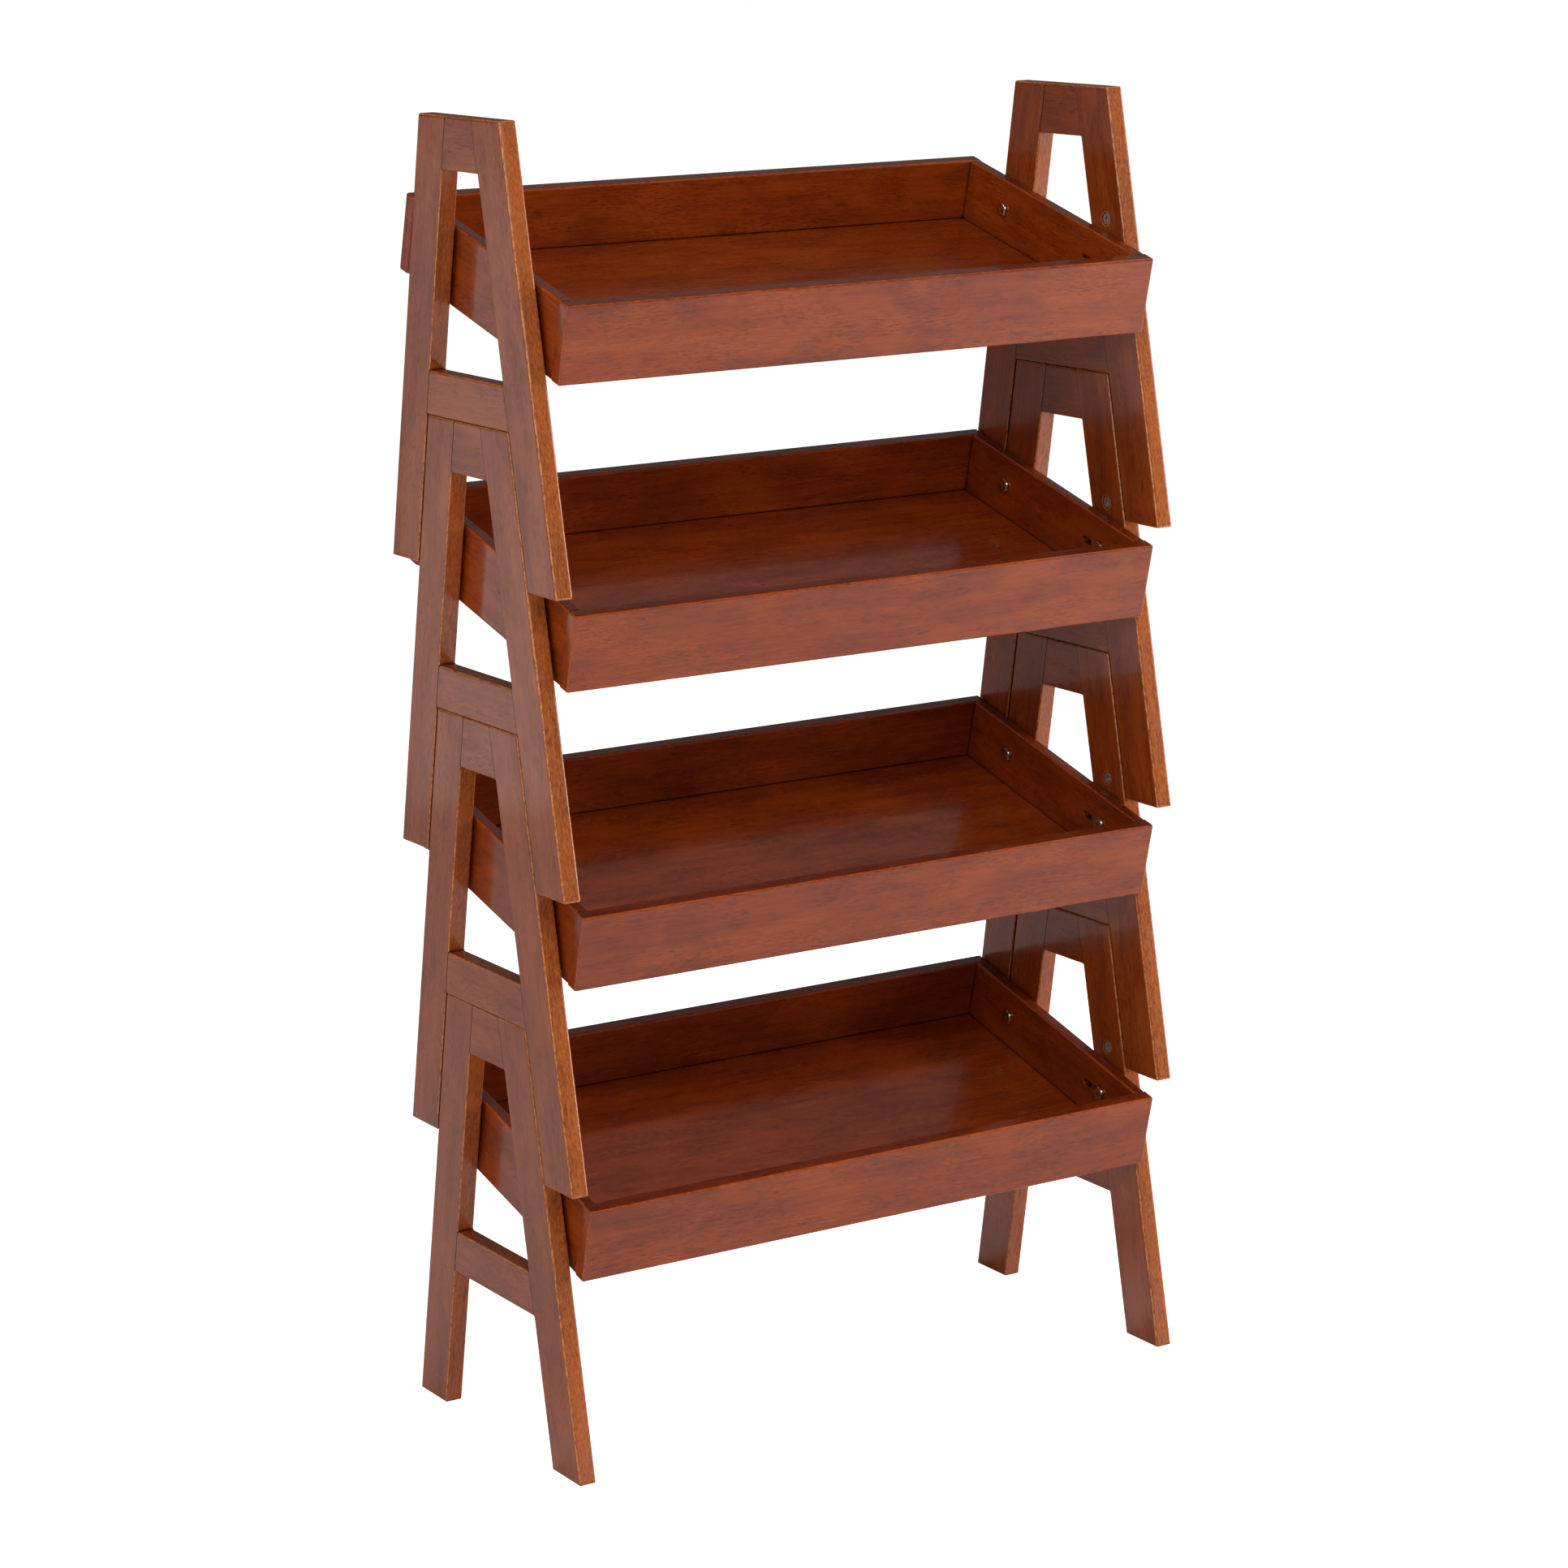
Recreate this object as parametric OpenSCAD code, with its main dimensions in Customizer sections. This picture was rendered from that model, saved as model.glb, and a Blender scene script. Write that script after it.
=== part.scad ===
// Stacking ladder shelf: four identical tray units set one on top of another.
// Each unit is a shallow wooden tray hung between two A-shaped end frames. A frame is two
// leaning legs, a wedge-shaped block between their tops and a crossbar lower down, and the
// legs straddle the frame below until the crossbar sits on its top.
// X runs along the trays, Y from front (-Y) to back (+Y), Z is up. The origin is on the
// floor, under the middle of the shelf.

/* [Stack] */
// Units in the stack
tiers = 4; // [1:1:4]
// Height that each further unit adds
pitch = 295; // [290:1:310]

/* [End frames] */
// Width over both end frames
overall_w = 725; // [500:1:1000]
// Height of one frame
frame_h = 447; // [430:1:480]
// Depth of a frame over its feet
foot_depth = 341; // [330:1:360]
// Depth of a frame at its top
top_depth = 165; // [160:1:175]
// Thickness of legs, blocks and crossbars
leg_t = 19; // [18:0.5:24]
// Width of a leg, measured level
leg_w = 56; // [52:0.5:58]
// Height of the block between the leg tops
block_h = 52.5; // [40:0.5:70]
// Height of the crossbar
bar_h = 44; // [34:0.5:50]
// Rounding of the outer edges
round_r = 3; // [1.5:0.25:4]
// Rounding of the edges around the window
soft_r = 1.75; // [0.5:0.25:2.5]

/* [Tray] */
// Length of the front and back boards
board_l = 682; // [460:1:960]
// Depth of the tray, front face to back face
tray_depth = 334.5; // [320:0.5:340]
// Height of the tray boards
tray_h = 80.5; // [70:0.5:90]
// Thickness of the front and back boards
board_t = 16; // [14:0.5:18]
// Thickness of the end walls
wall_t = 13; // [12:0.5:16]
// How far the boards stand past the end walls at each end
board_proud = 1.5; // [0.5:0.25:3]
// Thickness of the bottom panel
panel_t = 6; // [4:0.5:8]
// Height of the panel's underside over the tray's lower edge
panel_up = 10.2; // [6:0.1:16]
// Depth of the groove that holds the panel
groove = 5; // [3:0.5:6]
// How far the tray leans forward as set up
tray_tilt = 15; // [8:0.5:18]

/* [Bolts and holes] */
// Height of the pivot bolt over the unit's feet
pivot_z = 312; // [305:1:320]
// How far the lower front hole is under the upper one
hole_drop = 46; // [30:1:50]
// How far a tray's slot runs on behind the upper front hole
slot_spare = 11; // [0:0.5:14]
// Distance from the pivot to the tray's back face
pivot_to_back = 85.4; // [80:0.1:95]
// Distance from the pivot to the tray's top edge
pivot_to_top = 31.45; // [25:0.05:40]
// Diameter of a bolt's shank
bolt_d = 6; // [5:0.5:8]
// Diameter of a bolt's head
head_d = 16; // [13:0.5:18]
// Thickness of a bolt's head
head_t = 2.8; // [2:0.1:4]
// Hex key size of the bolts
key_af = 4; // [3:0.5:5]
// Outer diameter of a threaded insert
insert_d = 11.5; // [9:0.5:12]
// Length of a threaded insert
insert_l = 13; // [10:0.5:14]

/* [Hidden] */
slope = (foot_depth - top_depth) / 2 / frame_h; // how far a leg leans in for each mm up
lean = atan(slope);
leg_across = leg_w * cos(lean);     // width of a leg square to its length
frame_x = overall_w / 2 - leg_t;    // inner face of an end frame
bar_z = frame_h - pitch;            // underside of the crossbar, on the frame below
block_z = frame_h - block_h;
wall_out = board_l / 2 - board_proud;
wall_in = wall_out - wall_t;
tray_back = pivot_to_back;
tray_front = pivot_to_back - tray_depth;
tray_top = pivot_to_top;
tray_low = pivot_to_top - tray_h;
panel_z = tray_low + panel_up;
run = 0.3;                          // running clearance between moving faces
bolt_reach = 12;                    // how far a shank goes into its insert
recess = 1;                         // depth of the counterbore over an insert
far = 1000;
eps = 0.01;

// centre line of a rear leg at height z
function leg_mid(z) = foot_depth / 2 - leg_w / 2 - slope * z;
// inner edge of a rear leg at height z
function leg_in(z) = foot_depth / 2 - leg_w - slope * z;
pivot_y = leg_mid(pivot_z);
low_z = pivot_z - hole_drop;
low_y = -leg_mid(low_z);
// a point of the upright frame, as seen from the tray's own tilted frame
function in_tray(y, z) = [
    (y - pivot_y) * cos(tray_tilt) + (z - pivot_z) * sin(tray_tilt),
    -(y - pivot_y) * sin(tray_tilt) + (z - pivot_z) * cos(tray_tilt)];
slot_tilted = in_tray(low_y, low_z);  // where the front bolt is with the tray leaning
slot_level = [-2 * pivot_y, 0];       // and with the tray level, at the upper hole

pieces = ["left_front_leg", "left_rear_leg", "right_front_leg", "right_rear_leg",
    "top_blocks", "left_crossbar", "right_crossbar",
    "tray_front_board", "tray_back_board", "tray_left_end", "tray_right_end",
    "tray_bottom_panel", "pivot_bolts", "front_bolts", "threaded_inserts"];

leg_colour = "#8a4a2e";
tray_colour = "#7a3418";
bolt_colour = "#b9a878";
insert_colour = "#8f8f8c";

// ---- rounded outlines -------------------------------------------------------------

function unit(v) = v / norm(v);
function turn(a) = a > 180 ? a - 360 : a < -180 ? a + 360 : a;
// the arc that rounds corner p between its neighbours a and b
function corner(a, p, b, r, n = 6) =
    let (u = unit(a - p), v = unit(b - p),
        half = acos(u * v) / 2,
        c = p + unit(u + v) * r / sin(half),
        s = p + u * r / tan(half) - c,
        e = p + v * r / tan(half) - c,
        a0 = atan2(s.y, s.x),
        da = turn(atan2(e.y, e.x) - a0))
    r <= 0 ? [p] : [for (i = [0:n]) c + r * [cos(a0 + da * i / n), sin(a0 + da * i / n)]];
// an outline with its own radius at each corner
function rounded(pts, radii) =
    let (k = len(pts))
    [for (i = [0:k - 1]) each corner(pts[(i + k - 1) % k], pts[i], pts[(i + 1) % k], radii[i])];
function box_pts(x0, y0, x1, y1) = [[x0, y0], [x1, y0], [x1, y1], [x0, y1]];

// extrusions of an outline along each axis, from a to b
module along_x(a, b) { translate([a, 0, 0]) rotate([90, 0, 90]) linear_extrude(b - a) children(); }
module along_y(a, b) { translate([0, b, 0]) rotate([90, 0, 0]) linear_extrude(b - a) children(); }
module along_z(a, b) { translate([0, 0, a]) linear_extrude(b - a) children(); }
// a round bar along X
module rod(d, a, b) { translate([a, 0, 0]) rotate([0, 90, 0]) cylinder(d = d, h = b - a, $fn = 64); }

// ---- places -----------------------------------------------------------------------

module at_tier(t) { translate([0, 0, (t - 1) * pitch]) children(); }
// everything is drawn for the right-hand end; the left is its mirror image
module on(side) { if (side == "left") mirror([1, 0, 0]) children(); else children(); }
module both_ends() { children(); mirror([1, 0, 0]) children(); }
module tilted() { translate([0, pivot_y, pivot_z]) rotate([tray_tilt, 0, 0]) children(); }

// ---- end frames -------------------------------------------------------------------

// Rounds one long inner edge of a leg between two heights. The edge runs up the leg at
// x = 0, and the leg lies towards +x.
module edge_round(z0, z1) {
    up = leg_across * sin(lean);
    translate([0, 0, (z0 + up) / cos(lean)])
        linear_extrude((z1 - z0) / cos(lean))
            polygon(concat([[-1, -1], [soft_r, -1]],
                [for (i = [0:5]) soft_r * [1 - sin(i * 18), 1 - cos(i * 18)]],
                [[-1, soft_r]]));
}

// A plain rear leg: leaning bar, level ends, rounded edges
module leg_blank() {
    foot = foot_depth / 2;
    top = top_depth / 2;
    intersection() {
        // outline seen from the end, with rounded foot and top corner
        along_x(frame_x, frame_x + leg_t)
            polygon(rounded([[foot - leg_w, 0], [foot, 0], [top, frame_h], [top - leg_w, frame_h]],
                [round_r, round_r, round_r, 0]));
        // rounded long outer edges
        translate([0, foot, 0]) rotate([lean, 0, 0])
            along_z(-80, frame_h + 80)
                polygon(rounded(box_pts(frame_x, -leg_across, frame_x + leg_t, 0),
                    [0, 0, round_r, round_r]));
        // rounded top and foot edges on both faces
        along_y(0, foot_depth)
            polygon(rounded(box_pts(frame_x, 0, frame_x + leg_t, frame_h),
                [round_r, round_r, round_r, round_r]));
    }
}

// Cutters for the long inner edges of a rear leg: around the window, and below the crossbar
module inner_edges() {
    translate([frame_x, foot_depth / 2, 0]) rotate([lean, 0, 0]) translate([0, -leg_across, 0])
        for (m = [0, 1]) translate([m * leg_t, 0, 0]) mirror([m, 0, 0]) {
            edge_round(bar_z + bar_h, block_z);
            edge_round(-30, bar_z);
        }
}

// Tenon of a crossbar or block, from the middle of the frame into the leg
module tenon(z0, z1, depth, more = 0) {
    tongue = 8 + 2 * more;
    translate([frame_x + leg_t / 2 - tongue / 2, 0, z0 - more])
        cube([tongue, leg_in((z0 + z1) / 2) + depth + 5 * more, z1 - z0 + 2 * more]);
}
bar_tenon = [bar_z + 8, bar_z + bar_h - 8];
block_tenon = [block_z + 9, frame_h - 17];

// Hole for a threaded insert, with the counterbore over it
module insert_hole() {
    rod(insert_d + 0.1, frame_x - 1, frame_x + recess + insert_l + 0.5);
    rod(insert_d + 3, frame_x - 1, frame_x + recess);
}

module rear_leg() {
    color(leg_colour) difference() {
        leg_blank();
        inner_edges();
        tenon(bar_tenon[0], bar_tenon[1], 12, 0.15);
        tenon(block_tenon[0], block_tenon[1], 10, 0.15);
        translate([0, pivot_y, pivot_z]) insert_hole();
    }
}

module front_leg() {
    color(leg_colour) difference() {
        mirror([0, 1, 0]) difference() {
            leg_blank();
            inner_edges();
            tenon(bar_tenon[0], bar_tenon[1], 12, 0.15);
            tenon(block_tenon[0], block_tenon[1], 10, 0.15);
        }
        translate([0, -pivot_y, pivot_z]) insert_hole();
        translate([0, low_y, low_z]) insert_hole();
    }
}

// A level piece between the two legs of a frame, from z0 to z1, with a tenon at each end
module between_legs(z0, z1, radii, tongue, depth) {
    intersection() {
        along_x(frame_x, frame_x + leg_t)
            polygon([[-leg_in(z0), z0], [leg_in(z0), z0], [leg_in(z1), z1], [-leg_in(z1), z1]]);
        along_y(-far, far)
            polygon(rounded(box_pts(frame_x, z0, frame_x + leg_t, z1), radii));
    }
    for (m = [0, 1]) mirror([0, m, 0]) tenon(tongue[0], tongue[1], depth);
}

module crossbar() {
    color(leg_colour)
        between_legs(bar_z, bar_z + bar_h, [soft_r, soft_r, 2.5, 2.5], bar_tenon, 12);
}

module top_block() {
    color(leg_colour)
        between_legs(block_z, frame_h, [soft_r, soft_r, round_r, round_r], block_tenon, 10);
}

// ---- tray, drawn level with the pivot at the origin ---------------------------------

edge = 2.5;       // rounding of the tray boards
dado_d = 5;       // depth of the housing that takes an end wall's tongue
dado_w = 6;       // its width
dado_stop = 9;    // how far it stops under the top edge

// A long board with all its edges rounded, from y0 to y1
module long_board(y0, y1) {
    intersection() {
        along_x(-board_l / 2, board_l / 2)
            polygon(rounded(box_pts(y0, tray_low, y1, tray_top), [edge, edge, edge, edge]));
        along_y(y0, y1)
            polygon(rounded(box_pts(-board_l / 2, tray_low, board_l / 2, tray_top),
                [edge, edge, edge, edge]));
        along_z(tray_low, tray_top)
            polygon(rounded(box_pts(-board_l / 2, y0, board_l / 2, y1),
                [edge, edge, edge, edge]));
    }
}

// Groove for the panel and housings for the end walls, cut into a face at y towards dir
module board_joints(y, dir) {
    depth = groove + 0.2;
    x = wall_in + groove + 0.2;
    translate([-x, dir > 0 ? y - eps : y - depth, panel_z - 0.1])
        cube([2 * x, depth + eps, panel_t + 0.2]);
    for (m = [0, 1]) mirror([m, 0, 0])
        translate([wall_in + (wall_t - dado_w) / 2 - 0.1,
            dir > 0 ? y - eps : y - dado_d - 0.2, tray_low - 1])
            cube([dado_w + 0.2, dado_d + 0.2 + eps, tray_h + 1 - dado_stop + 0.2]);
}

module tray_front_board() {
    color(tray_colour) tilted() difference() {
        long_board(tray_front, tray_front + board_t);
        board_joints(tray_front + board_t, -1);
    }
}

module tray_back_board() {
    color(tray_colour) tilted() difference() {
        long_board(tray_back - board_t, tray_back);
        board_joints(tray_back - board_t, 1);
    }
}

module tray_end() {
    y0 = tray_front + board_t;
    y1 = tray_back - board_t;
    color(tray_colour) tilted() difference() {
        union() {
            along_y(y0, y1)
                polygon(rounded(box_pts(wall_in, tray_low, wall_out, tray_top),
                    [edge, edge, edge, edge]));
            translate([wall_in + (wall_t - dado_w) / 2, y0 - dado_d, tray_low + edge])
                cube([dado_w, y1 - y0 + 2 * dado_d, tray_h - dado_stop - edge]);
        }
        // groove for the bottom panel
        translate([wall_in - 1, y0 - 10, panel_z - 0.1])
            cube([groove + 1.2, y1 - y0 + 20, panel_t + 0.2]);
        // pivot hole, a running fit on the bolt
        rod(bolt_d + 0.2, wall_in - 1, wall_out + 1);
        // slot for the front bolt, from behind its level place to its tilted place
        q = unit(slot_tilted - slot_level);
        p = [-q.y, q.x];
        h = (bolt_d + 1) / 2;
        a = slot_level - (slot_spare + h) * q;
        b = slot_tilted + h * q;
        r = h - 0.2;
        along_x(wall_in - 1, wall_out + 1)
            polygon(rounded([a - h * p, b - h * p, b + h * p, a + h * p], [r, r, r, r]));
    }
}

module tray_bottom_panel() {
    x = wall_in + groove;
    y0 = tray_front + board_t - groove;
    y1 = tray_back - board_t + groove;
    color(tray_colour) tilted() difference() {
        translate([-x, y0, panel_z]) cube([2 * x, y1 - y0, panel_t]);
        // corners cleared for the end walls' tongues
        for (m = [0, 1]) mirror([m, 0, 0]) for (y = [y0 - 1, y1 - groove - 0.2])
            translate([wall_in + (wall_t - dado_w) / 2 - 0.3, y, panel_z - 1])
                cube([wall_t, groove + 1.2, panel_t + 2]);
    }
}

// ---- bolts, washers and inserts, drawn at the right-hand end with the axis on X ------

// Low round head with a rounded rim and a hex socket; its flat underside is at x = 0
module bolt(length) {
    rim = 1.6;
    color(bolt_colour) difference() {
        union() {
            rotate([0, -90, 0]) rotate_extrude($fn = 96)
                polygon(concat([[0, 0], [head_d / 2, 0]],
                    [for (i = [0:6]) [head_d / 2 - rim + rim * cos(i * 15),
                        head_t - rim + rim * sin(i * 15)]], [[0, head_t]]));
            rod(bolt_d, -0.5, length - 1);
            translate([length - 1 - eps, 0, 0]) rotate([0, 90, 0])
                cylinder(d1 = bolt_d, d2 = bolt_d - 1.6, h = 1, $fn = 64);
        }
        translate([-head_t - 1, 0, 0]) rotate([0, 90, 0])
            cylinder(d = key_af / cos(30), h = 1 + head_t - 0.4, $fn = 6);
    }
}

// Flat washer that keeps the tray off the leg, from x = a to b
module washer(a, b) {
    color(bolt_colour) difference() {
        rod(head_d, a, b);
        rod(bolt_d + 0.4, a - 1, b + 1);
    }
}

module bolt_set(washer_to) {
    head_x = wall_in - run;
    translate([head_x, 0, 0]) bolt(frame_x + recess + bolt_reach - head_x);
    washer(wall_out + run, washer_to);
}

module pivot_bolts() {
    both_ends() translate([0, pivot_y, pivot_z]) bolt_set(frame_x);
}

module front_bolts() {
    both_ends() translate([0, low_y, low_z]) bolt_set(frame_x - run);
}

// Threaded insert with a hex drive in its mouth and turned grooves outside
module insert() {
    x = frame_x + recess;
    color(insert_colour) difference() {
        rod(insert_d, x, x + insert_l);
        rod(bolt_d + 0.1, x - 1, x + insert_l + 1);
        translate([x - 1, 0, 0]) rotate([0, 90, 0])
            cylinder(d = (bolt_d + 0.7) / cos(30), h = 4.5, $fn = 6);
        for (k = [1:4]) difference() {
            rod(insert_d + 2, x + 2.4 * k, x + 2.4 * k + 1);
            rod(insert_d - 1, x + 2.4 * k - 1, x + 2.4 * k + 2);
        }
    }
}

module threaded_inserts() {
    both_ends() {
        translate([0, pivot_y, pivot_z]) insert();
        translate([0, -pivot_y, pivot_z]) insert();
        translate([0, low_y, low_z]) insert();
    }
}

// ---- the stack ----------------------------------------------------------------------

for (t = [1:tiers]) at_tier(t) {
    n = str("tier", t, "_");
    on("left") front_leg();
    on("left") rear_leg();
    on("right") front_leg();
    on("right") rear_leg();
    both_ends() top_block();
    on("left") crossbar();
    on("right") crossbar();
    tray_front_board();
    tray_back_board();
    on("left") tray_end();
    on("right") tray_end();
    tray_bottom_panel();
    pivot_bolts();
    front_bolts();
    threaded_inserts();
}
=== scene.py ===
# %% [markdown]
# # A stacking ladder shelf
#
# This lesson dresses a shelf that was already designed as solid parts: legs, tray boards,
# bolts. The solids arrive as a fixed frame, and nothing here moves them or edits their
# meshes. Our work is what a cabinet maker's finishing room does: eased edges, stained and
# lacquered wood with a grain that runs the right way in each board, plated hardware, and a
# soft studio light.
#
# We start by loading the frame.

# %% Load the frame
import math
import bpy
from mathutils import Matrix, Vector

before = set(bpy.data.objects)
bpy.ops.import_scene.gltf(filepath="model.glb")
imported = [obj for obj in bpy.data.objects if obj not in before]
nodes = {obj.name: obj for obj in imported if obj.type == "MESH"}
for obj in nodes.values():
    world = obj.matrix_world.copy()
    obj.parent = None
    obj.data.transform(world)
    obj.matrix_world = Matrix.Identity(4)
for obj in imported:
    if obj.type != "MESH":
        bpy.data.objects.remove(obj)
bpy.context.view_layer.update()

# %% [markdown]
# ## The camera
#
# The shelf is seen from its front left, a little from above, with a long lens. A long lens
# keeps the two end frames nearly the same size. The camera is placed by its azimuth, height
# angle and a very small roll, and the view is centred with a little lens shift.

# %% Place the camera
IMAGE_SIDE = 1932
FOCAL = 5382.2       # focal length, in the same unit as the image side
OPTICAL_ROW = 867.3  # height of the lens axis in the image, in that unit too
SENSOR_MM = 36.0
CAMERA_PLACE = (-2.31726, -3.73691, 1.60477)
AZIMUTH, ELEVATION, ROLL = 31.7353, -11.4331, -0.95  # degrees

def look(azimuth, elevation, roll):
    """Rotation of a camera that looks along azimuth (0 is +Y, 90 is +X), elevation and
    roll."""
    a, e, r = (math.radians(v) for v in (azimuth, elevation, roll))
    forward = Vector((math.sin(a) * math.cos(e), math.cos(a) * math.cos(e), math.sin(e)))
    right = Vector((math.cos(a), -math.sin(a), 0))
    up = right.cross(forward)
    right, up = (right * math.cos(r) + up * math.sin(r),
                 up * math.cos(r) - right * math.sin(r))
    return Matrix((right, up, -forward)).transposed()

camera_data = bpy.data.cameras.new("studio_camera")
camera_data.sensor_width = SENSOR_MM
camera_data.lens = FOCAL / IMAGE_SIDE * SENSOR_MM
camera_data.shift_y = (OPTICAL_ROW - IMAGE_SIDE / 2) / IMAGE_SIDE
camera_data.clip_end = 50
camera = bpy.data.objects.new("studio_camera", camera_data)
camera.matrix_world = (Matrix.Translation(CAMERA_PLACE)
                       @ look(AZIMUTH, ELEVATION, ROLL).to_4x4())
bpy.context.scene.collection.objects.link(camera)
bpy.context.scene.camera = camera
print("lens", round(camera_data.lens, 1), "mm, shift", round(camera_data.shift_y, 4))

# %% [markdown]
# ## A pale studio
#
# Furniture like this is shown on a seamless white sweep. A world colour could be the only
# light, but it would fill every hollow evenly, and the trays would lose their dark insides.
# So the world is white only where the camera looks straight at it, and dim for everything
# else, and the light comes from a few large soft panels. The Light Path node makes that
# difference. It is used for the world and the floor, never in a material of the shelf.
#
# World, floor, wood and metal are all built from nodes. Adding one takes several lines of
# Python, so a small helper does it in a single call.

# %% A helper that adds nodes
def set_inputs(tree, node, values):
    """Links each value that is a socket to its input, and writes down any other value."""
    for key, value in values.items():
        if isinstance(value, bpy.types.NodeSocket):
            tree.links.new(value, node.inputs[key])
        else:
            node.inputs[key].default_value = value

def add(tree, kind, settings=None, **values):
    """A new node. settings are its own properties, and values are for its inputs: by name,
    with _ for a space, or by number as i0, i1 and so on."""
    node = tree.nodes.new("ShaderNode" + kind)
    for key, value in (settings or {}).items():
        setattr(node, key, value)
    set_inputs(tree, node, {
        int(key[1:]) if key[0] == "i" and key[1:].isdigit() else key.replace("_", " "): value
        for key, value in values.items()})
    return node

print("node helper ready")

# %% [markdown]
# The surround needs two Background nodes, one that the camera sees and a dim one that
# lights the shelf, and a Mix Shader that picks between them.

# %% White surround
FILL_STRENGTH = 0.067  # how much the surround lights the shelf

scene = bpy.context.scene
scene.view_settings.view_transform = "Standard"
world = bpy.data.worlds.new("pale_studio")
scene.world = world
world.use_nodes = True
sky = world.node_tree
sky.nodes.clear()
sky_seen = add(sky, "Background", Color=(1, 1, 1, 1))
sky_fill = add(sky, "Background", Color=(1.0, 0.98, 0.96, 1), Strength=FILL_STRENGTH)
sky_path = add(sky, "LightPath")
sky_pick = add(sky, "MixShader", Fac=sky_path.outputs["Is Camera Ray"],
               i1=sky_fill.outputs[0], i2=sky_seen.outputs[0])
add(sky, "OutputWorld", Surface=sky_pick.outputs[0])
print("world:", [n.name for n in sky.nodes])

# %% [markdown]
# The floor is one large pale sheet. It is a stage, not a part of the shelf. Its diffuse
# paint bounces light up under the trays. A glow that only the camera sees is added to it,
# and lifts it to the same white as the surround, so that no horizon shows.

# %% Floor
FLOOR_REACH = 30    # metres from the middle to each side
FLOOR_GLOW = 0.97

def new_material(name):
    """An empty material and its node tree."""
    material = bpy.data.materials.new(name)
    material.use_nodes = True
    material.node_tree.nodes.clear()
    return material, material.node_tree

floor_mesh = bpy.data.meshes.new("studio_floor")
floor_mesh.from_pydata(
    [(x * FLOOR_REACH, y * FLOOR_REACH, 0) for x, y in ((-1, -1), (1, -1), (1, 1), (-1, 1))],
    [], [(0, 1, 2, 3)])
floor = bpy.data.objects.new("studio_floor", floor_mesh)
scene.collection.objects.link(floor)
floor_paint, tree = new_material("white_sweep")
path = add(tree, "LightPath")
paint = add(tree, "BsdfDiffuse", Color=(0.86, 0.86, 0.86, 1))
strength = add(tree, "Math", {"operation": "MULTIPLY"},
               i0=path.outputs["Is Camera Ray"], i1=FLOOR_GLOW)
glow = add(tree, "Emission", Strength=strength.outputs[0])
both = add(tree, "AddShader", i0=paint.outputs[0], i1=glow.outputs[0])
add(tree, "OutputMaterial", Surface=both.outputs[0])
floor_mesh.materials.append(floor_paint)
print("floor:", floor.dimensions[:2])

# %% [markdown]
# ## Soft light
#
# Each lamp is a rectangular area light, like a real softbox. Two broad ones on the right
# carry the front boards and the inner faces of the right frame. The stronger of the two is
# kept out of reflections, or it would draw a bright line on edges that should stay quiet. A
# much weaker one on the left and one high in front model the left frame. A narrow strip at
# the front left is there mostly for its reflection: it draws the bright line down every
# rounded edge that faces it. Two more hang overhead. The two weak ones behind are also for
# reflections: one low down gives the left frame its pale veil, and one high up puts a sheen
# on the trays' top edges.

# %% Softboxes
def softbox(name, place, aim, size, power, mirrored=True):
    """A rectangular area light at place, pointing at aim. size is (width, height) in metres,
    and power is in watts. A lamp that isn't mirrored lights the wood but shows in no
    reflection."""
    data = bpy.data.lights.new(name, "AREA")
    data.shape = "RECTANGLE"
    data.size, data.size_y = size
    data.energy = power
    lamp = bpy.data.objects.new(name, data)
    lamp.location = place
    lamp.rotation_mode = "QUATERNION"
    lamp.rotation_quaternion = (Vector(aim) - Vector(place)).to_track_quat("-Z", "Y")
    lamp.visible_camera = False
    lamp.visible_glossy = mirrored
    scene.collection.objects.link(lamp)
    return lamp

middle = (0, 0, 0.65)
softboxes = [
    softbox("left", (-3.6, -0.3, 1.3), middle, (1.8, 2.2), 16),
    softbox("right", (3.4, -0.5, 1.3), middle, (1.8, 2.2), 88, mirrored=False),
    softbox("front_high", (-0.6, -3.2, 3.0), middle, (2.2, 1.4), 44),
    softbox("front_right", (3.6, -2.0, 1.0), middle, (1.2, 2.0), 54),
    softbox("over_left", (-2.6, 0.0, 3.0), middle, (1.6, 1.6), 16),
    softbox("over_right", (2.6, 0.0, 3.0), middle, (1.6, 1.6), 12),
    softbox("edge_strip", (-3.0, -2.6, 1.9), middle, (0.22, 1.9), 15),
    softbox("back_left_low", (-1.85, 2.0, 0.65), (-0.4, 0, 1.0), (1.0, 1.1), 2.2),
    softbox("back_right_high", (2.0, 2.6, 3.0), middle, (2.4, 2.0), 1.2),
]
print("softboxes:", {lamp.name: lamp.data.energy for lamp in softboxes})

# %% [markdown]
# ## Eased edges
#
# No board leaves a workshop with knife edges: a sander breaks every one. The rounded long
# edges are in the solids already. What is left are the small corners at the ends and along
# the joints, less than a millimetre wide. A Bevel modifier breaks them without touching the
# mesh itself. The frame's triangles are first joined with a Weld modifier, because the
# bevel can only follow an edge whose two sides share it. A planar Decimate then dissolves
# the triangle edges that cross flat faces. Without it the bevel's overlap clamp leaves about
# a tenth of a millimetre or less on nearly everything but the bottom panels. With it the
# blocks, crossbars, front and back boards and panels get the full width, and the end walls
# about half. The legs get next to nothing either way, so they skip it. Weighted normals keep
# the broad faces flat and let only the edges catch the light.

# %% Break the sharp edges
EASED_EDGE = 0.0009      # width of the bevel, in metres
WELD_REACH = 0.00001
FLAT_WITHIN = 0.5        # degrees: triangles this close to one plane are one face
SHARP_BEYOND = 35        # degrees: edges sharper than this are bevelled

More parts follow.
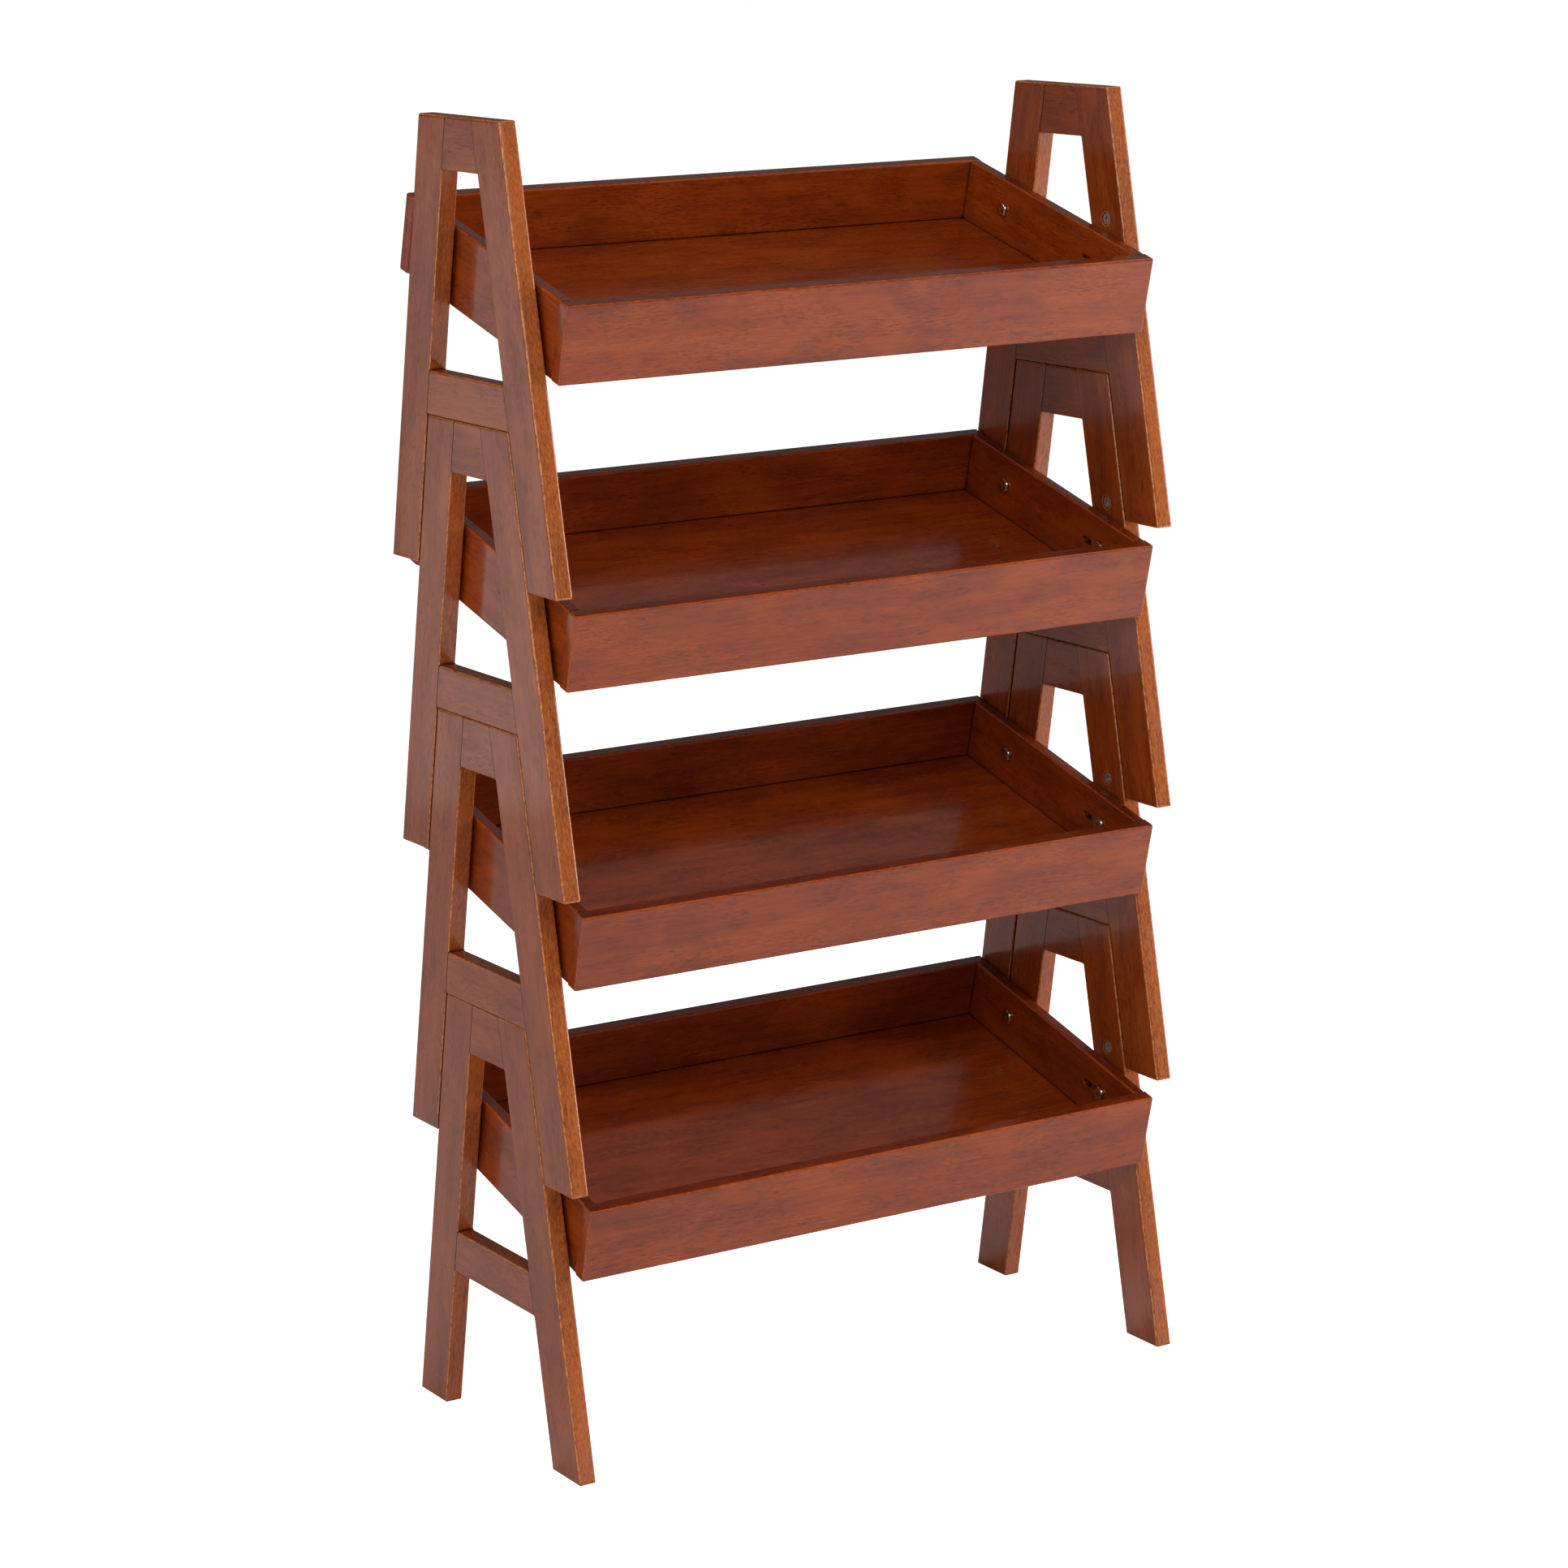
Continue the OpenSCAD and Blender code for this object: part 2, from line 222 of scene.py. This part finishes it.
def break_edges(piece):
    """Welds, bevels and re-shades a piece with modifiers alone."""
    weld = piece.modifiers.new("weld", "WELD")
    weld.merge_threshold = WELD_REACH
    if not piece.name.endswith("_leg"):
        flatten = piece.modifiers.new("flat_faces_whole", "DECIMATE")
        flatten.decimate_type = "DISSOLVE"
        flatten.angle_limit = math.radians(FLAT_WITHIN)
    bevel = piece.modifiers.new("broken_edges", "BEVEL")
    bevel.width = EASED_EDGE
    bevel.segments = 2
    bevel.limit_method = "ANGLE"
    bevel.angle_limit = math.radians(SHARP_BEYOND)
    bevel.use_clamp_overlap = True
    shade = piece.modifiers.new("flat_faces", "WEIGHTED_NORMAL")
    shade.weight = 80
    shade.keep_sharp = False

boards = {n: o for n, o in nodes.items() if "bolts" not in n and "inserts" not in n}
hardware = {n: o for n, o in nodes.items() if n not in boards}
for piece in boards.values():
    break_edges(piece)
print("boards:", len(boards), "groups of hardware:", len(hardware))

# %% [markdown]
# ## Stained wood
#
# The wood is a plain, close-grained hardwood under a red-brown stain and a glossy lacquer.
# Several things make it look like wood: soft bands that run with the grain, hair-thin
# streaks, dark pores like short dashes, and slow clouds where the stain soaked in unevenly.
# All of them are noise, stretched along the board. They go into one node group, so that
# each material can have its own amounts. The group gives back a colour, a gloss mask and a
# height for the bump.
#
# The groups are mostly sums on masks. These helpers make each sum one short call.

# %% Sums for node groups
def maths(tree, operation, a, b=0.0):
    return add(tree, "Math", {"operation": operation}, i0=a, i1=b).outputs[0]

def plus(tree, a, b):
    return maths(tree, "ADD", a, b)

def minus(tree, a, b):
    return maths(tree, "SUBTRACT", a, b)

def times(tree, a, b):
    return maths(tree, "MULTIPLY", a, b)

def without_sign(tree, a):
    return maths(tree, "ABSOLUTE", a)

def scaled(tree, vector, factors):
    """A vector with each of its parts multiplied by its own factor."""
    return add(tree, "VectorMath", {"operation": "MULTIPLY"}, i0=vector, i1=factors).outputs[0]

print("sums ready")

# %% [markdown]
# Four more helpers carry the groups themselves: a ramp that turns a value into a mask, a
# mix of two colours, noise stretched along the board, and a new group with named sockets.

# %% Masks, colours and groups
def ramp(tree, value, low, high):
    """Takes value from low..high to a smooth 0..1."""
    return add(tree, "MapRange", {"interpolation_type": "SMOOTHSTEP"}, Value=value,
               From_Min=low, From_Max=high).outputs["Result"]

def blend_colour(tree, how, amount, a, b):
    """Mixes two colours; how is MIX, MULTIPLY and so on."""
    # a Mix node has a set of inputs for each data type: 0, 6 and 7 are the ones for colours
    mix = add(tree, "Mix", {"data_type": "RGBA", "blend_type": how}, i0=amount, i6=a, i7=b)
    return mix.outputs[2]

def stretched_noise(tree, vector, stretch, detail=2.0, rough=0.5, warp=0.0):
    """Noise whose cells are 1/stretch metres along each axis of the board."""
    return add(tree, "TexNoise", Vector=scaled(tree, vector, stretch), Scale=1.0,
               Detail=detail, Roughness=rough, Distortion=warp).outputs["Fac"]

def new_group(name, inputs, outputs):
    """A shader node group with named sockets: (name, kind, default) for each input."""
    group = bpy.data.node_groups.new(name, "ShaderNodeTree")
    for label, kind, default in inputs:
        socket = group.interface.new_socket(
            label, in_out="INPUT", socket_type="NodeSocket" + kind)
        if default is not None:
            socket.default_value = default
    for label, kind in outputs:
        group.interface.new_socket(label, in_out="OUTPUT", socket_type="NodeSocket" + kind)
    return group, group.nodes.new("NodeGroupInput"), group.nodes.new("NodeGroupOutput")

print("group helpers ready")

# %% [markdown]
# Now the grain itself. Each kind of mark gets its own noise, stretched along the board: two
# or three times for the clouds, and about thirty times for the thin streaks. Clouds and
# streaks choose between the light and the dark stain, and the pores are multiplied on top.

# %% The grain group
grain, g_in, g_out = new_group(
    "stained_grain",
    [("Board", "Vector", None), ("Light Stain", "Color", (0.36, 0.085, 0.02, 1)),
     ("Dark Stain", "Color", (0.12, 0.022, 0.006, 1)), ("Figure", "Float", 0.5),
     ("Pores", "Float", 0.5), ("Clouds", "Float", 0.5)],
    [("Color", "Color"), ("Gloss Mask", "Float"), ("Height", "Float")])
board = g_in.outputs["Board"]
# slow bends, so that no line of grain is ruler straight
bend = add(grain, "TexNoise", Vector=scaled(grain, board, (4.0, 11.0, 11.0)),
           Scale=1.0, Detail=2.0)
bend = add(grain, "VectorMath", {"operation": "MULTIPLY_ADD"}, i0=bend.outputs["Color"],
           i1=(0.0, 0.016, 0.016), i2=board).outputs[0]
bands = stretched_noise(grain, bend, (5.0, 95.0, 95.0), detail=4.0, rough=0.6)
lines = stretched_noise(grain, bend, (26.0, 820.0, 820.0), detail=3.0, rough=0.7)
pores = stretched_noise(grain, bend, (110.0, 1300.0, 1300.0), detail=1.0)
crowd = stretched_noise(grain, board, (14.0, 40.0, 40.0))
clouds = stretched_noise(grain, board, (10.0, 26.0, 26.0), detail=4.0, rough=0.6, warp=0.4)
band_mask = ramp(grain, bands, 0.32, 0.70)
line_mask = ramp(grain, lines, 0.36, 0.66)
cloud_mask = ramp(grain, clouds, 0.34, 0.66)
# pores gather where the crowd noise is high, and thin out elsewhere
pore_mask = times(grain, ramp(grain, pores, 0.52, 0.62), ramp(grain, crowd, 0.3, 0.6))
streaks = plus(grain, times(grain, band_mask, 0.45), times(grain, line_mask, 0.55))
dark = plus(grain, times(grain, streaks, g_in.outputs["Figure"]),
            times(grain, cloud_mask, g_in.outputs["Clouds"]))
dark = add(grain, "Clamp", Value=dark).outputs[0]
stain = blend_colour(grain, "MIX", dark,
                     g_in.outputs["Light Stain"], g_in.outputs["Dark Stain"])
stain = blend_colour(grain, "MULTIPLY", times(grain, pore_mask, g_in.outputs["Pores"]),
                     stain, (0.45, 0.35, 0.3, 1))
set_inputs(grain, g_out, {
    "Color": stain,
    "Gloss Mask": plus(grain, times(grain, cloud_mask, 0.5), times(grain, pore_mask, 0.5)),
    "Height": minus(grain, times(grain, lines, 0.5), times(grain, pore_mask, 0.6))})
print("stained_grain:", len(grain.nodes), "nodes")

# %% [markdown]
# ## Rubbed edges, painted highlight and painted top shade
#
# A finisher's hand wears the stain thin wherever a board turns a corner. On the legs the
# lighter edge is pushed further, as a painted highlight: it stands in for the bright line that
# the light draws down their rounded edges. To find those places no ray has to be traced. On a
# flat face the surface normal, turned into the board's own directions, has one part close to 1
# and two close to 0. On a rounding it doesn't. So one minus the largest part is a clean mask
# of every rounding, bevel and hole. Noise breaks it up, because no edge is rubbed evenly. The
# same parts also tell the faces of a board apart: its narrow sides take the stain in golden
# speckles, and its top is painted darker, as painted shade for faces that reflect little
# light.

# %% The rubbed edge group, with painted highlight and top shade
edge_wear_and_painted_light, g_in, g_out = new_group(
    "edge_wear_painted_highlight_and_shade", [("Board", "Vector", None), ("Board Normal", "Vector", None),
                    ("Color", "Color", None), ("Bare Stain", "Color", (0.6, 0.2, 0.05, 1)),
                    ("Amount", "Float", 0.45), ("Side Speckle", "Float", 0.0),
                    ("Top Depth", "Float", 0.0)],
    [("Color", "Color")])
turned = add(edge_wear_and_painted_light, "SeparateXYZ", Vector=g_in.outputs["Board Normal"])
parts = [without_sign(edge_wear_and_painted_light, turned.outputs[i]) for i in range(3)]
most = maths(edge_wear_and_painted_light, "MAXIMUM", maths(edge_wear_and_painted_light, "MAXIMUM", parts[0], parts[1]), parts[2])
edge = ramp(edge_wear_and_painted_light, minus(edge_wear_and_painted_light, 1.0, most), 0.03, 0.16)
patch = ramp(edge_wear_and_painted_light, stretched_noise(edge_wear_and_painted_light, g_in.outputs["Board"], (170.0, 520.0, 520.0),
                                     detail=4.0, rough=0.8), 0.38, 0.60)
side = times(edge_wear_and_painted_light, ramp(edge_wear_and_painted_light, parts[1], 0.86, 0.97), g_in.outputs["Side Speckle"])
# worn stain on every rounding; on the legs, with a high amount and a bright rubbed tone, it is
# also a painted highlight
wear_and_highlight_reach = maths(edge_wear_and_painted_light, "MAXIMUM", times(edge_wear_and_painted_light, edge, g_in.outputs["Amount"]), side)
wear_and_highlight_mask = times(edge_wear_and_painted_light, wear_and_highlight_reach, patch)
# painted shade: faces that point up along the board are darkened
top = times(edge_wear_and_painted_light, ramp(edge_wear_and_painted_light, turned.outputs[2], 0.90, 0.99), g_in.outputs["Top Depth"])
with_top_shade = blend_colour(edge_wear_and_painted_light, "MULTIPLY", top, g_in.outputs["Color"], (0.35, 0.22, 0.2, 1))
set_inputs(edge_wear_and_painted_light, g_out, {
    "Color": blend_colour(edge_wear_and_painted_light, "MIX", wear_and_highlight_mask, with_top_shade, g_in.outputs["Bare Stain"])})
print("edge_wear_painted_highlight_and_shade:", len(edge_wear_and_painted_light.nodes), "nodes")

# %% [markdown]
# ## Where the small marks sit
#
# Four smaller effects finish the wood: painted shade in the seams, joint lines, bare rims and
# bolt prints.
# The last three sit at known places, so they need a few sizes of the shelf, in metres. Y is
# measured from its middle plane, and heights from the foot of a unit. They are repeated for
# each tier by wrapping the height.

# %% Sizes the marks follow
TIER = 0.295                # from one unit to the next
FOOT_Y, TOP_Y = 0.1705, 0.0825  # outer edge of a leg, at its foot and at its top
FRAME_HEIGHT = 0.447
SLOPE = (FOOT_Y - TOP_Y) / FRAME_HEIGHT
HALF_LEG = 0.028            # half the width of a leg, measured level
BLOCK_FOOT = 0.0995         # the top block's foot, seen one tier lower
BAR_FOOT, BAR_TOP = 0.152, 0.196

def lean_y(z):
    """Distance of a leg's centre line from the middle plane, at height z."""
    return FOOT_Y - HALF_LEG - SLOPE * z

def wrapped_height(tree, z, low, high):
    """A height brought into low..high by whole tiers."""
    return add(tree, "Math", {"operation": "WRAP"}, i0=z, i1=high, i2=low).outputs[0]

print("a leg leans", round(math.degrees(math.atan(SLOPE)), 2), "degrees")

# %% [markdown]
# ## Painted seam shade and joint lines
#
# A very short ambient occlusion darkens the colour where two boards meet and in every
# crevice: this is painted shade. Where a block or a crossbar is glued between its legs, a
# hair-thin line follows the joint.

# %% Painted seam shade and joint lines
seam_shade, g_in, g_out = new_group(
    "painted_seam_shade", [("Color", "Color", None), ("Reach", "Float", 0.004),
                   ("Depth", "Float", 0.9)], [("Color", "Color")])
# painted shade: a short ambient occlusion darkens the colour where surfaces close in
near = add(seam_shade, "AmbientOcclusion", {"samples": 6}, Distance=g_in.outputs["Reach"])
seam_shade_amount = minus(seam_shade, 1.0, ramp(seam_shade, near.outputs["AO"], 0.35, 0.92))
set_inputs(seam_shade, g_out, {
    "Color": blend_colour(seam_shade, "MULTIPLY", times(seam_shade, seam_shade_amount, g_in.outputs["Depth"]),
                          g_in.outputs["Color"], (0.12, 0.06, 0.04, 1))})

joints, g_in, g_out = new_group(
    "joint_lines", [("Position", "Vector", None), ("Color", "Color", None),
                    ("Width", "Float", 0.0006), ("Depth", "Float", 0.9)],
    [("Color", "Color")])
at = add(joints, "SeparateXYZ", Vector=g_in.outputs["Position"])
low = wrapped_height(joints, at.outputs[2], 0.0, TIER)
# the top block's joints lie one tier above the crossbar's, so its heights wrap around
is_bar = maths(joints, "GREATER_THAN", low, BAR_FOOT)
height = plus(joints, low, times(joints, minus(joints, 1.0, is_bar), TIER))
line_y = minus(joints, lean_y(0.0) - HALF_LEG, times(joints, height, SLOPE))
off = without_sign(joints, minus(joints, without_sign(joints, at.outputs[1]), line_y))
on_line = maths(joints, "LESS_THAN", off, g_in.outputs["Width"])
in_reach = times(joints, maths(joints, "GREATER_THAN", low, BLOCK_FOOT),
                 maths(joints, "LESS_THAN", low, BAR_TOP))
amount = times(joints, times(joints, on_line, in_reach), g_in.outputs["Depth"])
set_inputs(joints, g_out, {
    "Color": blend_colour(joints, "MULTIPLY", amount,
                          g_in.outputs["Color"], (0.22, 0.10, 0.08, 1))})
print("lines:", [g.name for g in (seam_shade, joints)])

# %% [markdown]
# ## Rims and prints
#
# The legs' counterbores were drilled after staining, so their rims show raw wood. And each
# front bolt's head has left a faint ring where it is tightened with the tray level. Both are
# found by their distance from a hole's axis. A rim's outer edge is frayed with fine noise.

# %% Bare rims
UPPER_HOLE, LOWER_HOLE = 0.312, 0.266
INNER_FACE_X = 0.3436       # just past the inner faces of the legs
RIM_INNER, RIM_OUTER = 0.0050, 0.0071
RIM_FRAY = 0.0012

def hole_distance(tree, point, y, z):
    """Distance of a point from an axis along X at y, z, repeated up the tiers."""
    at = add(tree, "SeparateXYZ", Vector=point)
    dz = wrapped_height(tree, minus(tree, at.outputs[2], z), -TIER / 2, TIER / 2)
    dy = minus(tree, at.outputs[1], y)
    return maths(tree, "SQRT", plus(tree, times(tree, dy, dy), times(tree, dz, dz)))

rims, g_in, g_out = new_group(
    "bare_rims", [("Position", "Vector", None), ("Color", "Color", None),
                  ("Raw Wood", "Color", (0.62, 0.33, 0.14, 1))], [("Color", "Color")])
here = g_in.outputs["Position"]
at = add(rims, "SeparateXYZ", Vector=here)
inside = maths(rims, "LESS_THAN", without_sign(rims, at.outputs[0]), INNER_FACE_X)
rear, upper, lower = (
    hole_distance(rims, here, y, z)
    for y, z in ((lean_y(UPPER_HOLE), UPPER_HOLE), (-lean_y(UPPER_HOLE), UPPER_HOLE),
                 (-lean_y(LOWER_HOLE), LOWER_HOLE)))
gap = maths(rims, "MINIMUM", maths(rims, "MINIMUM", rear, upper), lower)
fray = times(rims, add(rims, "TexNoise", Vector=here, Scale=900.0,
                       Detail=2.0).outputs["Fac"], RIM_FRAY)
raw = times(rims, inside, maths(rims, "LESS_THAN", gap, plus(rims, fray, RIM_OUTER)))
rim = times(rims, raw, maths(rims, "GREATER_THAN", gap, RIM_INNER))
set_inputs(rims, g_out, {
    "Color": blend_colour(rims, "MIX", rim, g_in.outputs["Color"], g_in.outputs["Raw Wood"])})
print("bare_rims:", len(rims.nodes), "nodes")

# %% [markdown]
# A bolt's print is a thin ring just outside its head. Noise leaves only arcs of it, because
# a head never bears evenly all round.

# %% Bolt prints
PRINT_RADIUS = 0.0083

prints, g_in, g_out = new_group(
    "bolt_print", [("Position", "Vector", None), ("Color", "Color", None),
                   ("Strength", "Float", 0.4)], [("Color", "Color")])
here = g_in.outputs["Position"]
off = minus(prints, hole_distance(prints, here, -lean_y(UPPER_HOLE), UPPER_HOLE), PRINT_RADIUS)
ring = minus(prints, 1.0, ramp(prints, without_sign(prints, off), 0.0001, 0.0007))
arc = ramp(prints, add(prints, "TexNoise", Vector=here, Scale=90.0).outputs["Fac"], 0.42, 0.6)
shown = times(prints, times(prints, ring, arc), g_in.outputs["Strength"])
set_inputs(prints, g_out, {
    "Color": blend_colour(prints, "MIX", shown,
                          g_in.outputs["Color"], (0.55, 0.24, 0.12, 1))})
print("bolt_print:", len(prints.nodes), "nodes")

# %% [markdown]
# ## One wood for each direction of grain
#
# A board's grain follows its length, whichever way the board points. The Object
# coordinates are in metres and move with the piece. A Mapping node turns them, so that the
# first axis always runs along the board: up a leaning leg, across a crossbar, or down the
# slope of a tray's end wall.

# %% Directions of grain
LEAN = math.degrees(math.atan(SLOPE))
TILT = 15.0  # degrees that a tray leans forward
grain_turn = {
    "front_leg": (LEAN, 90, 0),
    "rear_leg": (-LEAN, 90, 0),
    "rail": (0, 0, -90),
    "long_board": (-TILT, 0, 0),
    "end_wall": (-TILT, 0, -90),
}
print("grain turned by:", {k: tuple(round(a, 1) for a in v) for k, v in grain_turn.items()})

# %% [markdown]
# One material could serve every board, but then the grain would run across many of them. So
# one function builds the lacquered wood, and is called once for each direction and stain. It
# chains the groups: the grain, then the rubbed edges with their painted highlight and shade,
# the painted shade in the seams, and the marks. The lacquer is the coat of the Principled
# shader, a thin clear layer that is smoother than the wood.

# %% The lacquered wood
def stained_wood(name, turn, light, dark, bare_and_highlight, marks=(), figure=0.62, wear_and_highlight_amount=0.6,
                 speckle=0.0, top=0.0):
    """Lacquered wood with its grain turned by the angles in turn. light and dark are the
    colours of the stain, and bare is the rubbed tone of worn edges, bright enough on the legs
    to be a painted highlight too. marks are the groups that add lines, rims or prints."""
    material, t = new_material(name)
    where = add(t, "TexCoord")
    angles = tuple(math.radians(a) for a in turn)
    along = add(t, "Mapping", Vector=where.outputs["Object"], Rotation=angles)
    facing = add(t, "Mapping", {"vector_type": "VECTOR"}, Vector=where.outputs["Normal"],
                 Rotation=angles)
    wood = add(t, "Group", {"node_tree": grain}, Board=along.outputs[0], Light_Stain=light,
               Dark_Stain=dark, Figure=figure, Pores=0.8, Clouds=0.42)
    edge_wear_and_light = add(t, "Group", {"node_tree": edge_wear_and_painted_light}, Board=along.outputs[0],
               Board_Normal=facing.outputs[0], Color=wood.outputs["Color"],
               Bare_Stain=bare_and_highlight, Amount=wear_and_highlight_amount, Side_Speckle=speckle, Top_Depth=top)
    # painted shade in the seams and crevices
    colour = add(t, "Group", {"node_tree": seam_shade}, Color=edge_wear_and_light.outputs["Color"]).outputs[0]
    for group in marks:
        colour = add(t, "Group", {"node_tree": group}, Position=where.outputs["Object"],
                     Color=colour).outputs[0]
    rough = add(t, "MapRange", Value=wood.outputs["Gloss Mask"], To_Min=0.20, To_Max=0.32)
    bump = add(t, "Bump", Height=wood.outputs["Height"], Strength=0.10, Distance=0.0004)
    skin = add(t, "BsdfPrincipled", Base_Color=colour, Roughness=rough.outputs[0],
               Normal=bump.outputs[0], Coat_Weight=0.4, Coat_Roughness=0.08)
    add(t, "OutputMaterial", Surface=skin.outputs[0])
    return material

print("chain:", [g.name for g in (grain, edge_wear_and_painted_light, seam_shade)])

# %% [markdown]
# Frames and trays get stains of their own, and the trays' is a little deeper and redder. The
# top edges of the tray's boards and end walls are painted darker: painted shade, for edges
# that reflect little light. The bottom panel's broad face points up too, but it isn't an edge,
# so the panel gets a wood of its own, without that painted shade.

# %% Six woods
# the light, the dark and the rubbed tone of each stain; the frame's rubbed tone is bright
# enough to paint a highlight down the legs' rounded edges
frame_stain = ((0.49, 0.102, 0.016, 1), (0.245, 0.038, 0.0055, 1), (0.90, 0.34, 0.10, 1))
tray_stain = ((0.45, 0.074, 0.0072, 1), (0.205, 0.0235, 0.0014, 1), (0.66, 0.12, 0.025, 1))
woods = {
    # on the legs the high rub amount and the frame's bright rubbed tone paint a highlight down
    # the rounded edges
    "front_leg": stained_wood("leg_wood_front", grain_turn["front_leg"], *frame_stain,
                              marks=(rims, joints), wear_and_highlight_amount=0.95, speckle=0.3),
    "rear_leg": stained_wood("leg_wood_rear", grain_turn["rear_leg"], *frame_stain,
                             marks=(rims, joints), wear_and_highlight_amount=0.95, speckle=0.2),
    "rail": stained_wood("rail_wood", grain_turn["rail"], *frame_stain,
                         marks=(joints,), figure=0.7),
    # top=0.7 paints shade on the top edges of the boards and end walls
    "long_board": stained_wood("tray_board_wood", grain_turn["long_board"], *tray_stain,
                               top=0.7),
    "panel": stained_wood("tray_panel_wood", grain_turn["long_board"], *tray_stain),
    "end_wall": stained_wood("tray_end_wood", grain_turn["end_wall"], *tray_stain,
                             marks=(prints,), top=0.7),
}
print("woods:", [w.name for w in woods.values()])

# %% [markdown]
# Each board now gets its wood. The pieces are named after what they are, so the end of a
# name is enough to choose.

# %% Dress the boards
def wood_of(name):
    """The wood for a board, told by the end of its name."""
    for ending, kind in (("front_leg", "front_leg"), ("rear_leg", "rear_leg"),
                         ("blocks", "rail"), ("crossbar", "rail"),
                         ("_end", "end_wall"), ("panel", "panel")):
        if name.endswith(ending):
            return woods[kind]
    return woods["long_board"]

def dress(piece, material):
    """Gives a frame piece one material in place of the plain ones it came with."""
    piece.data.materials.clear()
    piece.data.materials.append(material)

for name, piece in boards.items():
    dress(piece, wood_of(name))
print("dressed", len(boards), "boards in", len(woods), "woods")

# %% [markdown]
# ## Hardware
#
# The bolts are plated steel with a slight yellow tone, turned and tumbled, so they shine in
# a soft, uneven way. The threaded inserts are duller pale zinc. Both are metals: the base
# colour is what they reflect, and roughness decides how sharp that is.

# %% Metals
HAZE_SHADE = 0.7  # how dark the haze leaves the metal where it is thickest

def plated_metal(name, colour, low, high, dents):
    """Metal with cloudy gloss, of roughness low to high, and tiny dents from tumbling."""
    material, t = new_material(name)
    where = add(t, "TexCoord")
    haze = add(t, "TexNoise", Vector=where.outputs["Object"], Scale=600.0,
               Detail=3.0).outputs["Fac"]
    rough = add(t, "MapRange", Value=haze, To_Min=low, To_Max=high)
    shaded = tuple(c * HAZE_SHADE for c in colour[:3]) + (1,)
    bump = add(t, "Bump", Height=haze, Strength=dents, Distance=0.0001)
    skin = add(t, "BsdfPrincipled", Base_Color=blend_colour(t, "MIX", haze, colour, shaded),
               Metallic=1.0, Roughness=rough.outputs[0], Normal=bump.outputs[0])
    add(t, "OutputMaterial", Surface=skin.outputs[0])
    return material

plated_bolt = plated_metal("plated_bolt", (0.88, 0.80, 0.62, 1), 0.12, 0.26, dents=0.12)
zinc_insert = plated_metal("zinc_insert", (0.96, 0.93, 0.84, 1), 0.40, 0.58, dents=0.4)
for name, piece in hardware.items():
    dress(piece, plated_bolt if "bolts" in name else zinc_insert)
print("dressed", len(hardware), "groups of hardware")
